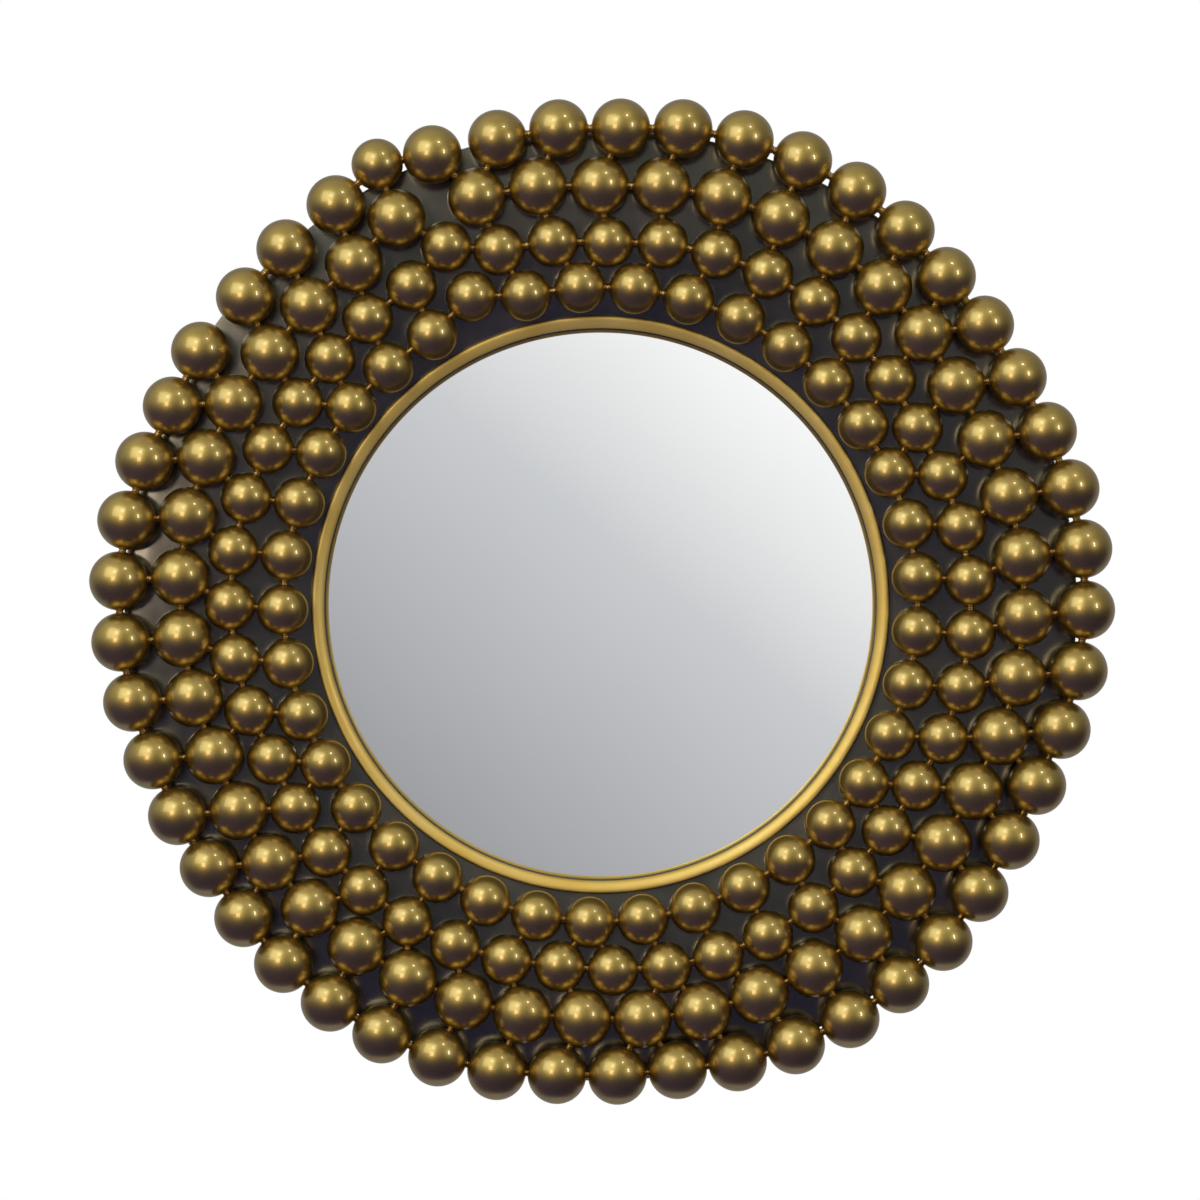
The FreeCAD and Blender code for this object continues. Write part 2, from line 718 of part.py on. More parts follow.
def make_wall_felt():
    """Self-adhesive felt on the rear flange, which rests on the wall."""
    node(washer("wall_felt", "Places.wall_inner", "Places.flange_outer", "Places.flange_rear", "0"),
         "wall_felt")


# ---------------------------------------------------------------------------------------------------
# Make everything, check it and write it
# ---------------------------------------------------------------------------------------------------

make_mirror_tray()
make_bead()
make_ring_plate()
make_balls_and_welds()
make_glass()
make_edge_tape()
make_foam_ring()
make_backing_board()
make_brackets()
make_bracket_screws()
make_hanger("left", -1)
make_hanger("right", 1)
make_hanger_screws()
make_wall_felt()
doc.recompute()

for thing in doc.Objects:
    if {"Invalid", "Error"} & set(thing.State):
        raise RuntimeError("%s failed: %s" % (thing.Name, thing.State))
for piece in nodes:
    if piece.Shape.isNull() or not piece.Shape.isValid() or not piece.Shape.Solids:
        raise RuntimeError(piece.Label + " has no valid solid")

os.makedirs("parts", exist_ok=True)
for piece in nodes:
    piece.Shape.exportStep("parts/%s.step" % piece.Label)
    print("%-20s %3d solids %12.1f mm3" % (piece.Label, len(piece.Shape.Solids), piece.Shape.Volume))
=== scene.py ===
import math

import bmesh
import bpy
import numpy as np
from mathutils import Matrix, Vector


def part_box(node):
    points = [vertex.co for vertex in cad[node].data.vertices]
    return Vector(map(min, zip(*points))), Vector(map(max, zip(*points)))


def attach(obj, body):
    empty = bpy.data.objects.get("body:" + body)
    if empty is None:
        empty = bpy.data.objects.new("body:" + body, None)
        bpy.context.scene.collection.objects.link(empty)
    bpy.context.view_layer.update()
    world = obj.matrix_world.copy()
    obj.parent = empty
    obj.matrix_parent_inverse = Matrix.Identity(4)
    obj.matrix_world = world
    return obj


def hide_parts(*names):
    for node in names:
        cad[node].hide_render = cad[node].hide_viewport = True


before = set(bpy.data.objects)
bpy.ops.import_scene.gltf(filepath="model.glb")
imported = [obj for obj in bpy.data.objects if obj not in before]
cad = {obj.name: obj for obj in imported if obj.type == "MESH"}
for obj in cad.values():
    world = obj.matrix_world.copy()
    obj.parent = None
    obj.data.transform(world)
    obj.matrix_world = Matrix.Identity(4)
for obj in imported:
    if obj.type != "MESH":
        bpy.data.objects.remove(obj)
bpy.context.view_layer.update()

# %% [markdown]
# # A convex mirror in a frame of gold balls
#
# The mirror is a shallow glass dome, 375 mm across where it shows, in a sheet-metal tray. Around it a flat
# ring plate carries four rings of hollow steel balls, welded to each other and lacquered in antique gold.
# The solids of every piece are loaded above as a fixed frame, in metres: +X is right, +Z up, and +Y goes
# into the wall. This lesson dresses them: pieces whose curves must reflect smoothly are made again with
# finer meshes in the same places, and every piece gets a finish.

MM = 0.001


# %% [markdown]
# ## Helpers for finishes
#
# A finish here is a node material. Each starts from the Principled shader, whose plain numbers are set
# on its own sockets, and gets its variation from noise that is read in Object coordinates. Image textures
# would need a flat map of every piece. Noise in space needs none, and because all pieces share one
# origin, neighbouring balls get different patches of it, as lacquer sprayed over the whole frame would.

# %% A new finish
def principled(finish):
    """The sockets of a finish's Principled shader."""
    return finish.node_tree.nodes["Principled BSDF"].inputs


def new_finish(name, **plain):
    """A material with a Principled shader whose sockets take the given plain numbers."""
    finish = bpy.data.materials.new(name)
    finish.use_nodes = True
    for socket, value in plain.items():
        principled(finish)[socket.replace("_", " ")].default_value = value
    print("finish:", name)
    return finish


# %% Its nodes
def add_node(finish, kind, **plain):
    """A node of a finish whose sockets take the given plain values."""
    node = finish.node_tree.nodes.new(kind)
    for socket, value in plain.items():
        node.inputs[socket.replace("_", " ")].default_value = value
    return node


def wire(finish, out_socket, in_socket):
    finish.node_tree.links.new(out_socket, in_socket)


def noise(finish, scale, detail=3.0, roughness=0.5, stretch=None):
    """Noise in Object coordinates. A stretch of (1, 1, 3) makes it finer along Z."""
    texture = add_node(finish, "ShaderNodeTexNoise", Scale=scale, Detail=detail, Roughness=roughness)
    source = add_node(finish, "ShaderNodeTexCoord").outputs["Object"]
    if stretch:
        mapping = add_node(finish, "ShaderNodeMapping", Scale=stretch)
        wire(finish, source, mapping.inputs["Vector"])
        source = mapping.outputs["Vector"]
    wire(finish, source, texture.inputs["Vector"])
    return texture.outputs["Fac"]


# %% What noise can vary: colour, roughness and height
NOISE_LOW, NOISE_HIGH = 0.3, 0.7


def set_stops(ramp, stops):
    """Give a colour ramp its stops, each a place from 0 to 1 and a colour."""
    while len(ramp.elements) < len(stops):
        ramp.elements.new(0.5)
    for element, (place, colour) in zip(ramp.elements, stops):
        element.position = place
        element.color = (*colour, 1.0)


def colour_by(finish, value, *stops):
    """Colour a finish by noise. Each stop is a place on the noise and a colour."""
    ramp = add_node(finish, "ShaderNodeValToRGB")
    set_stops(ramp.color_ramp, stops)
    wire(finish, value, ramp.inputs["Fac"])
    wire(finish, ramp.outputs["Color"], principled(finish)["Base Color"])


def roughen(finish, value, low, high):
    """Let noise vary the roughness between low and high."""
    mapped = add_node(finish, "ShaderNodeMapRange", From_Min=NOISE_LOW, From_Max=NOISE_HIGH,
                      To_Min=low, To_Max=high)
    wire(finish, value, mapped.inputs["Value"])
    wire(finish, mapped.outputs["Result"], principled(finish)["Roughness"])


def bump(finish, height, strength, distance):
    """Let noise raise the surface by up to a distance in metres."""
    node = add_node(finish, "ShaderNodeBump", Strength=strength, Distance=distance)
    wire(finish, height, node.inputs["Height"])
    wire(finish, node.outputs["Normal"], principled(finish)["Normal"])


# %% [markdown]
# ## The balls' antique gold lacquer
#
# The balls are steel, sprayed with a bronze-gold lacquer full of fine metal flake and then with a clear
# coat. The flake scatters light into a broad warm glow, and the coat adds small sharp highlights on top.
# One glossy metal could give only one of the two, so the base is a rough metal and the coat a smooth
# layer over it. A slow noise varies the gold between olive and brown, and a very fine one is the flake.

# %% Ball lacquer
ball_lacquer = new_finish("ball_lacquer", Metallic=1.0, Coat_Weight=1.0, Coat_Roughness=0.03, Coat_IOR=1.65)
colour_by(ball_lacquer, noise(ball_lacquer, scale=60.0),
          (0.25, (0.47, 0.315, 0.075)), (0.75, (0.54, 0.365, 0.090)))
roughen(ball_lacquer, noise(ball_lacquer, scale=900.0, detail=2.0), 0.36, 0.42)
bump(ball_lacquer, noise(ball_lacquer, scale=1400.0, detail=2.0), 0.03, 0.08 * MM)

# %% [markdown]
# ## Weld lacquer
#
# The welds were sprayed with the balls, so they have the same gold. Their surface is lumpy and catches
# light in points, which a strong fine bump gives.

# %% Weld lacquer
weld_lacquer = new_finish("weld_lacquer", Metallic=1.0, Roughness=0.25, Coat_Weight=0.5, Coat_Roughness=0.08)
colour_by(weld_lacquer, noise(weld_lacquer, scale=400.0),
          (0.3, (0.36, 0.20, 0.05)), (0.7, (0.62, 0.40, 0.12)))
bump(weld_lacquer, noise(weld_lacquer, scale=1500.0), 0.5, 0.3 * MM)

# %% [markdown]
# ## Bead lacquer
#
# The bead around the glass has a satin gold paint. A pure metal would turn black wherever it reflects
# nothing bright. Half metal and half pigment keeps it gold there too, as the real one is.

# %% Bead lacquer
bead_lacquer = new_finish("bead_lacquer", Metallic=0.55, Coat_Weight=0.2, Coat_Roughness=0.2)
colour_by(bead_lacquer, noise(bead_lacquer, scale=25.0),
          (0.3, (0.88, 0.57, 0.13)), (0.7, (0.95, 0.66, 0.20)))
roughen(bead_lacquer, noise(bead_lacquer, scale=500.0, detail=2.0), 0.42, 0.52)

# %% [markdown]
# ## Plate lacquer
#
# The ring plate behind the balls is a dark gunmetal, glossy enough to show the balls' undersides. A slow
# noise with three colours gives it clouds of a browner tone. These are painted reflections of the gold
# balls, added to the real reflections that its gloss gives.

# %% Plate lacquer
plate_lacquer = new_finish("plate_lacquer", Metallic=0.9, Coat_Weight=0.7, Coat_Roughness=0.05)
# The browner stops are painted reflections of the gold balls in the plate's colour.
colour_by(plate_lacquer, noise(plate_lacquer, scale=22.0),
          (0.30, (0.115, 0.113, 0.106)), (0.50, (0.155, 0.145, 0.128)), (0.70, (0.225, 0.200, 0.168)))
roughen(plate_lacquer, noise(plate_lacquer, scale=40.0, detail=4.0), 0.12, 0.26)

# %% [markdown]
# ## Mirror glass
#
# The glass is silvered at its back. What matters is a clean reflection, so the finish is a perfectly
# smooth metal with the faint cool tint of glass, which a slow noise lets vary a little as silvering does.
# A very slow, very low bump is the slight waviness that bent glass has. It is far too low to see in the
# shape, but it keeps reflected lines from being ruled.

# %% Mirror finish
mirror_finish = new_finish("mirror_finish", Metallic=1.0, Roughness=0.0)
colour_by(mirror_finish, noise(mirror_finish, scale=9.0, detail=2.0),
          (0.3, (0.922, 0.934, 0.940)), (0.7, (0.938, 0.946, 0.950)))
bump(mirror_finish, noise(mirror_finish, scale=6.0, detail=1.0), 0.1, 0.4 * MM)

# %% [markdown]
# ## Finishes that only the back shows
#
# Behind the frame are black satin paint on the tray, brown hardboard with flecks of fibre, zinc-plated
# brackets and screws, nickel-plated hangers, dark felt and foam. Each takes the steps it needs out of
# the same three, colour, roughness and bump, with its own size of noise: long flecks for fibre, fine
# ones for felt.

# %% Paint and board
tray_paint = new_finish("tray_paint", Coat_Weight=0.1)
colour_by(tray_paint, noise(tray_paint, scale=30.0),
          (0.3, (0.020, 0.020, 0.021)), (0.7, (0.034, 0.033, 0.032)))
roughen(tray_paint, noise(tray_paint, scale=120.0), 0.34, 0.5)
bump(tray_paint, noise(tray_paint, scale=1500.0, detail=2.0), 0.12, 0.1 * MM)

hardboard = new_finish("hardboard", Roughness=0.75)
colour_by(hardboard, noise(hardboard, scale=380.0, detail=6.0, roughness=0.7, stretch=(1.0, 1.0, 3.0)),
          (0.25, (0.13, 0.075, 0.038)), (0.5, (0.24, 0.15, 0.085)), (0.8, (0.34, 0.23, 0.14)))
bump(hardboard, noise(hardboard, scale=900.0, detail=5.0, roughness=0.7), 0.35, 0.3 * MM)

# %% Platings
zinc = new_finish("zinc", Metallic=1.0)
colour_by(zinc, noise(zinc, scale=300.0), (0.3, (0.50, 0.50, 0.49)), (0.7, (0.66, 0.66, 0.64)))
roughen(zinc, noise(zinc, scale=700.0), 0.24, 0.42)

nickel = new_finish("nickel", Metallic=1.0)
colour_by(nickel, noise(nickel, scale=200.0), (0.3, (0.58, 0.55, 0.49)), (0.7, (0.68, 0.65, 0.58)))
roughen(nickel, noise(nickel, scale=900.0), 0.14, 0.28)

# %% Felt and foam
wall_felt = new_finish("wall_felt", Roughness=0.95, Sheen_Weight=0.4, Sheen_Roughness=0.5)
colour_by(wall_felt, noise(wall_felt, scale=1600.0, detail=5.0, roughness=0.7),
          (0.3, (0.016, 0.016, 0.017)), (0.7, (0.060, 0.060, 0.062)))
bump(wall_felt, noise(wall_felt, scale=2500.0, detail=4.0, roughness=0.7), 0.8, 0.6 * MM)

foam = new_finish("foam", Roughness=0.9)
colour_by(foam, noise(foam, scale=2200.0, detail=2.0),
          (0.35, (0.010, 0.010, 0.011)), (0.6, (0.050, 0.050, 0.052)))
bump(foam, noise(foam, scale=2200.0, detail=2.0), 0.8, 0.5 * MM)


# %% [markdown]
# ## Where the balls and welds are
#
# The solids say where every ball and weld is, so nothing is measured again here. A node's mesh is loose
# triangles: corners at the same place are one point, and points that share a triangle belong to one
# solid. Spreading the lowest point number along the triangles until nothing changes gives each solid one
# number of its own.

# %% Boxes of the separate solids in a node
SAME_PLACE_DIGITS = 6


def solid_boxes(node):
    """Lowest and highest corner of each separate solid of a node."""
    mesh = cad[node].data
    mesh.calc_loop_triangles()
    corners = np.empty(len(mesh.vertices) * 3)
    mesh.vertices.foreach_get("co", corners)
    triangles = np.empty(len(mesh.loop_triangles) * 3, dtype=int)
    mesh.loop_triangles.foreach_get("vertices", triangles)
    corners = np.round(corners.reshape(-1, 3), SAME_PLACE_DIGITS)
    places, number = np.unique(corners, axis=0, return_inverse=True)
    triangles = number.reshape(-1)[triangles].reshape(-1, 3)
    label = np.arange(len(places))
    while True:
        lowest = label[triangles].min(axis=1)
        next_label = label.copy()
        for side in range(3):
            np.minimum.at(next_label, triangles[:, side], lowest)
        next_label = next_label[next_label]
        if np.array_equal(next_label, label):
            break
        label = next_label
    own_points = [places[label == value] for value in np.unique(label)]
    return [(own.min(axis=0), own.max(axis=0)) for own in own_points]


def solid_middles(node):
    return [(low + high) / 2 for low, high in solid_boxes(node)]


# %% Middles of the balls
SMALL_RADIUS = 17.5 * MM
BIG_RADIUS = 20 * MM
BALL_RADIUS_OF = {
    "inner_ring_balls": SMALL_RADIUS, "third_ring_balls": SMALL_RADIUS, "second_ring_balls": BIG_RADIUS,
    "outer_ring_balls": BIG_RADIUS, "outer_closing_ball": SMALL_RADIUS}
ball_centres = {ring: solid_middles(ring) for ring in BALL_RADIUS_OF}
for ring, centres in ball_centres.items():
    print(ring, len(centres), "balls")


# %% [markdown]
# ## Making meshes with Geometry Nodes
#
# A small tree places one copy of a shape on each point it is given. Its sizes are named inputs, and a
# modifier sets each one by the identifier of its socket. When the result has been turned into a plain
# mesh, the modifier and its points are removed, so that only the finished piece is left.

# %% A tree and its nodes
def new_tree(name, **inputs):
    """A Geometry Nodes tree with one geometry input and the named inputs of the given socket types."""
    tree = bpy.data.node_groups.new(name, "GeometryNodeTree")
    tree.interface.new_socket(name="Geometry", in_out="INPUT", socket_type="NodeSocketGeometry")
    for label, kind in inputs.items():
        tree.interface.new_socket(name=label.replace("_", " "), in_out="INPUT",
                                  socket_type="NodeSocket" + kind)
    tree.interface.new_socket(name="Geometry", in_out="OUTPUT", socket_type="NodeSocketGeometry")
    tree.nodes.new("NodeGroupInput")
    tree.nodes.new("NodeGroupOutput")
    return tree


def tree_node(tree, kind, inputs=None, **settings):
    """Add a node with its settings. Each input takes another node's socket or a plain value."""
    node = tree.nodes.new(kind)
    for key, value in settings.items():
        setattr(node, key, value)
    for key, source in (inputs or {}).items():
        if isinstance(source, bpy.types.NodeSocket):
            tree.links.new(source, node.inputs[key])
        else:
            node.inputs[key].default_value = source
    return node


def finish_tree(tree, geometry, finish):
    """End a tree: give its geometry a finish and hand it out."""
    painted = tree_node(tree, "GeometryNodeSetMaterial", {"Geometry": geometry, "Material": finish})
    tree.links.new(painted.outputs["Geometry"], tree.nodes["Group Output"].inputs["Geometry"])


# %% Points to grow on
def add_object(name, data):
    thing = bpy.data.objects.new(name, data)
    bpy.context.scene.collection.objects.link(thing)
    return thing


def points_object(name, places, **attributes):
    """A mesh of bare points, with a named attribute for each list of numbers or vectors."""
    mesh = bpy.data.meshes.new(name)
    mesh.from_pydata([tuple(place) for place in places], [], [])
    for label, values in attributes.items():
        vectors = np.ndim(values[0]) > 0
        layer = mesh.attributes.new(label, "FLOAT_VECTOR" if vectors else "FLOAT", "POINT")
        flat_values = np.array(values, dtype=np.float32).ravel()
        layer.data.foreach_set("vector" if vectors else "value", flat_values)
    return add_object(name, mesh)


# %% From a tree to a finished piece
def grow(name, tree, points, **values):
    """Run a tree on points and return the result as a plain object."""
    modifier = points.modifiers.new(tree.name, "NODES")
    modifier.node_group = tree
    wanted = {label.replace("_", " "): value for label, value in values.items()}
    for socket in tree.interface.items_tree:
        if socket.in_out == "INPUT" and socket.name in wanted:
            modifier[socket.identifier] = wanted[socket.name]
    graph = bpy.context.evaluated_depsgraph_get()
    mesh = bpy.data.meshes.new_from_object(points.evaluated_get(graph))
    mesh.name = name
    piece = add_object(name, mesh)
    bare = points.data
    bpy.data.objects.remove(points)
    bpy.data.meshes.remove(bare)
    print(name, len(mesh.polygons), "faces")
    return piece


def dress(piece, *nodes, slot):
    """Let a finished piece stand for its solids and ride on the mirror. The slot is not used."""
    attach(piece, "mirror")
    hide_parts(*nodes)


# %% [markdown]
# ## The balls
#
# A polished ball shows every facet of a coarse mesh as a kink in its reflections, so each ball is a fine
# sphere with smooth shading. The poles, where a sphere's faces crowd together, point up and down, away
# from the viewer. There are 172 balls of two sizes, so one tree makes them all.

# %% Tree that puts a ball on each point
STEPS_ROUND, STEPS_DOWN = 56, 28
ball_tree = new_tree("balls_on_points", Ball_Radius="Float", Finish="Material")
given = ball_tree.nodes["Group Input"].outputs
ball = tree_node(ball_tree, "GeometryNodeMeshUVSphere",
                 {"Segments": STEPS_ROUND, "Rings": STEPS_DOWN, "Radius": given["Ball Radius"]})
smooth_ball = tree_node(ball_tree, "GeometryNodeSetShadeSmooth", {"Geometry": ball.outputs["Mesh"]})
copies = tree_node(ball_tree, "GeometryNodeInstanceOnPoints",
                   {"Points": given["Geometry"], "Instance": smooth_ball.outputs["Geometry"]})
real = tree_node(ball_tree, "GeometryNodeRealizeInstances", {"Geometry": copies.outputs["Instances"]})
finish_tree(ball_tree, real.outputs["Geometry"], given["Finish"])

# %% Balls of each ring
for ring, radius in BALL_RADIUS_OF.items():
    points = points_object(ring + "_centres", ball_centres[ring])
    piece = grow("gold_" + ring, ball_tree, points, Ball_Radius=radius, Finish=ball_lacquer)
    dress(piece, ring, slot="ball_lacquer")


# %% [markdown]
# ## The welds
#
# A weld is a short neck of metal between two balls, wider at both ends where it wets them, and never
# quite even. The tree makes a cylinder, narrows it at the middle, stands it between its two balls, and
# pushes its surface in and out a little with noise. Which two balls a weld joins is found from the
# distances between its middle and the balls' surfaces.

# %% Middle, direction and length of each weld
WELD_NODES = ("inner_ring_welds", "third_ring_welds", "second_ring_welds", "outer_ring_welds",
              "inner_step_welds", "middle_step_welds", "outer_step_welds")
WELD_BITE = 0.35 * MM
all_centres = np.array([centre for centres in ball_centres.values() for centre in centres])
all_radii = np.array([BALL_RADIUS_OF[ring] for ring, centres in ball_centres.items() for _ in centres])


def weld_line(place):
    """Middle, direction and length of the neck between the two balls nearest to a place."""
    distance = np.linalg.norm(all_centres - place, axis=1) - all_radii
    one, other = np.argsort(distance)[:2]
    span = all_centres[other] - all_centres[one]
    direction = span / np.linalg.norm(span)
    start = all_centres[one] + direction * (all_radii[one] - WELD_BITE)
    end = all_centres[other] - direction * (all_radii[other] - WELD_BITE)
    return (start + end) / 2, direction, np.linalg.norm(end - start)


# %% Tree for welds, first half: a neck of height 1, narrow at its waist
NECK_SIDES, NECK_LAYERS = 18, 6
END_HEIGHT_SQUARED = 0.25
weld_tree = new_tree("weld_necks", Root_Radius="Float", Waist="Float", Lump_Height="Float",
                     Lump_Scale="Float", Finish="Material")
given = weld_tree.nodes["Group Input"].outputs
neck = tree_node(weld_tree, "GeometryNodeMeshCylinder",
                 {"Vertices": NECK_SIDES, "Side Segments": NECK_LAYERS, "Fill Segments": 1,
                  "Radius": 1.0, "Depth": 1.0})
place = tree_node(weld_tree, "GeometryNodeInputPosition").outputs["Position"]
height = tree_node(weld_tree, "ShaderNodeSeparateXYZ", {"Vector": place}).outputs["Z"]
height_squared = tree_node(weld_tree, "ShaderNodeMath", {0: height, 1: height}, operation="MULTIPLY")
width = tree_node(weld_tree, "ShaderNodeMapRange",
                  {"Value": height_squared.outputs[0], "From Min": 0.0, "From Max": END_HEIGHT_SQUARED,
                   "To Min": given["Waist"], "To Max": 1.0}).outputs["Result"]
narrowing = tree_node(weld_tree, "ShaderNodeCombineXYZ", {"X": width, "Y": width, "Z": 1.0})
narrowed = tree_node(weld_tree, "ShaderNodeVectorMath", {0: place, 1: narrowing.outputs["Vector"]},
                     operation="MULTIPLY")
waisted = tree_node(weld_tree, "GeometryNodeSetPosition",
                    {"Geometry": neck.outputs["Mesh"], "Position": narrowed.outputs["Vector"]})

# %% Second half: turned and stretched between its balls
direction = tree_node(weld_tree, "GeometryNodeInputNamedAttribute", {"Name": "direction"},
                      data_type="FLOAT_VECTOR")
length = tree_node(weld_tree, "GeometryNodeInputNamedAttribute", {"Name": "length"}, data_type="FLOAT")
turn = tree_node(weld_tree, "FunctionNodeAlignRotationToVector",
                 {"Vector": direction.outputs["Attribute"]}, axis="Z")
size = tree_node(weld_tree, "ShaderNodeCombineXYZ",
                 {"X": given["Root Radius"], "Y": given["Root Radius"], "Z": length.outputs["Attribute"]})
copies = tree_node(weld_tree, "GeometryNodeInstanceOnPoints",
                   {"Points": given["Geometry"], "Instance": waisted.outputs["Geometry"],
                    "Rotation": turn.outputs["Rotation"], "Scale": size.outputs["Vector"]})
real = tree_node(weld_tree, "GeometryNodeRealizeInstances", {"Geometry": copies.outputs["Instances"]})

# %% Lumps, pushed in and out along the surface's own direction
lumps = tree_node(weld_tree, "ShaderNodeTexNoise", {"Scale": given["Lump Scale"], "Detail": 2.0})
centred = tree_node(weld_tree, "ShaderNodeMath", {0: lumps.outputs[0], 1: 0.5}, operation="SUBTRACT")
lump_height = tree_node(weld_tree, "ShaderNodeMath", {0: centred.outputs[0], 1: given["Lump Height"]},
                        operation="MULTIPLY")
outwards = tree_node(weld_tree, "GeometryNodeInputNormal")
push = tree_node(weld_tree, "ShaderNodeVectorMath",
                 {0: outwards.outputs["Normal"], "Scale": lump_height.outputs[0]}, operation="SCALE")
lumpy = tree_node(weld_tree, "GeometryNodeSetPosition",
                  {"Geometry": real.outputs["Geometry"], "Offset": push.outputs["Vector"]})
smooth = tree_node(weld_tree, "GeometryNodeSetShadeSmooth", {"Geometry": lumpy.outputs["Geometry"]})
finish_tree(weld_tree, smooth.outputs["Geometry"], given["Finish"])

# %% Welds of each group
for group in WELD_NODES:
    middles, directions, lengths = zip(*(weld_line(middle) for middle in solid_middles(group)))
    points = points_object(group + "_places", middles, direction=directions, length=lengths)
    piece = grow("gold_" + group, weld_tree, points, Root_Radius=3.1 * MM, Waist=0.78,
                 Lump_Height=0.9 * MM, Lump_Scale=420.0, Finish=weld_lacquer)
    dress(piece, group, slot="weld_lacquer")


# %% [markdown]
# ## Turned pieces
#
# Tray, bead, ring plate, glass and felt are all round about the mirror's axis, so each is a profile that
# is turned like work on a lathe. A profile is a closed list of points, each the radius and the depth.
# Sharp corners are rounded a little, as a sheet's cut edge is, because a bare mathematical edge never
# catches the light. A Screw or Bevel modifier could do both. Doing it in code keeps the poles of the
# glass closed and every face where it is wanted.

# %% Turn a profile about the mirror's axis
def turned(name, profile, finish, steps=240):
    """A closed ring from a profile of (radius, y) points. A point of radius 0 becomes a pole."""
    shape = bmesh.new()
    poles = {i: shape.verts.new((0, y, 0)) for i, (radius, y) in enumerate(profile) if radius == 0}
    rows = []
    for step in range(steps):
        angle = 2 * math.pi * step / steps
        rows.append([poles.get(i) or shape.verts.new((radius * math.cos(angle), y, radius * math.sin(angle)))
                     for i, (radius, y) in enumerate(profile)])
    for this, following in zip(rows, rows[1:] + rows[:1]):
        for i in range(len(profile)):
            j = (i + 1) % len(profile)
            loop = list(dict.fromkeys([this[i], this[j], following[j], following[i]]))
            if len(loop) > 2:
                shape.faces.new(loop)
    bmesh.ops.recalc_face_normals(shape, faces=shape.faces)
    mesh = bpy.data.meshes.new(name)
    shape.to_mesh(mesh)
    shape.free()
    for face in mesh.polygons:
        face.use_smooth = True
    mesh.materials.append(finish)
    print(name, len(mesh.polygons), "faces")
    return add_object(name, mesh)


# %% Rounded corners and kept edges
SIDE_SHARE = 0.45


def rounded(corners, radius, steps=3):
    """Replace each corner of a closed profile by a small arc. Corners are (radius, y) points.

    An arc takes at most SIDE_SHARE of a side, so that the arcs at its two ends never meet.
    """
    profile = []
    for i, corner in enumerate(corners):
        before, here, after = Vector(corners[i - 1]), Vector(corner), Vector(corners[(i + 1) % len(corners)])
        cut = min(radius, (before - here).length * SIDE_SHARE, (after - here).length * SIDE_SHARE)
        start = here + (before - here).normalized() * cut
        end = here + (after - here).normalized() * cut
        for step in range(steps + 1):
            t = step / steps
            profile.append(tuple(start * (1 - t) ** 2 + here * 2 * t * (1 - t) + end * t ** 2))
    return profile


def keep_edges(piece, degrees=35.0):
    """Shade smoothly, but keep edges sharper than this angle as edges."""
    piece.data.set_sharp_from_angle(angle=math.radians(degrees))


def depths(node):
    """Front and rear of a solid."""
    low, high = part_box(node)
    return low.y, high.y


# %% [markdown]
# ### The convex glass
#
# Two arcs about one centre, far behind the wall, are the front and back of the glass. The front arc has
# many steps, because the whole room is reflected in it.

# %% Glass
GLASS_RADIUS = 189.7 * MM
FRONT_CURVE = 1000 * MM
GLASS_THICKNESS = 3 * MM
BACK_CURVE = FRONT_CURVE - GLASS_THICKNESS
FRONT_STEPS, BACK_STEPS = 72, 24
curve_centre = depths("convex_glass")[0] + FRONT_CURVE


def arc(curve, angles):
    return [(curve * math.sin(t), curve_centre - curve * math.cos(t)) for t in angles]


front_arc = arc(FRONT_CURVE, np.linspace(0, math.asin(GLASS_RADIUS / FRONT_CURVE), FRONT_STEPS))
back_arc = arc(BACK_CURVE, np.linspace(math.asin(GLASS_RADIUS / BACK_CURVE), 0, BACK_STEPS))
glass = turned("silvered_glass", front_arc + back_arc, mirror_finish, steps=256)
keep_edges(glass)
dress(glass, "convex_glass", slot="mirror_glass")

# %% [markdown]
# ### The bead
#
# The bead is a rod bent into a ring and pressed in the making, so that its crest leans outwards and its
# long slope faces the glass. The light of the upper left shows on that slope at the lower right, and on
# the crest's short outer side at the upper left. Only the front half leans: the more a point stands
# forward, the more it moves outwards.

# %% Bead, a rod whose front leans outwards
BEAD_RING_RADIUS = 191.6 * MM
BEAD_RADIUS = 4.1 * MM
BEAD_LEAN = 2.3 * MM
BEAD_POINTS = 40
bead_depth = sum(depths("mirror_bead")) / 2
bead_profile = [(BEAD_RING_RADIUS + BEAD_RADIUS * math.cos(t) + BEAD_LEAN * min(math.sin(t), 0) ** 2,
                 bead_depth + BEAD_RADIUS * math.sin(t))
                for t in np.linspace(0, 2 * math.pi, BEAD_POINTS, endpoint=False)]
bead = turned("satin_bead", bead_profile, bead_lacquer, steps=320)
dress(bead, "mirror_bead", slot="bead_lacquer")

# %% [markdown]
# ### The ring plate and the wall felt
#
# Both are flat rings with square edges, one cut from sheet metal and one from felt, so one small helper
# makes them. The plate has more steps round its axis, because its rim shows between the outer balls.

# %% Flat rings
EDGE_ROUNDING = 0.4 * MM


def flat_ring(name, node, inner, outer, finish, steps=240):
    """A ring as deep as its solid, with its edges just rounded."""
    front, rear = depths(node)
    corners = [(inner, front), (outer, front), (outer, rear), (inner, rear)]
    ring_piece = turned(name, rounded(corners, EDGE_ROUNDING), finish, steps)
    keep_edges(ring_piece)
    return ring_piece


plate = flat_ring("gunmetal_plate", "ring_plate", 191.8 * MM, 323.5 * MM, plate_lacquer, steps=320)
dress(plate, "ring_plate", slot="plate_lacquer")

# %% [markdown]
# ### The tray
#
# The tray is turned from sheet: a lip in front that holds the glass, a wall, and a flange at the back
# that is turned outwards and carries the felt. Its profile is the sheet's own section, walked once round.

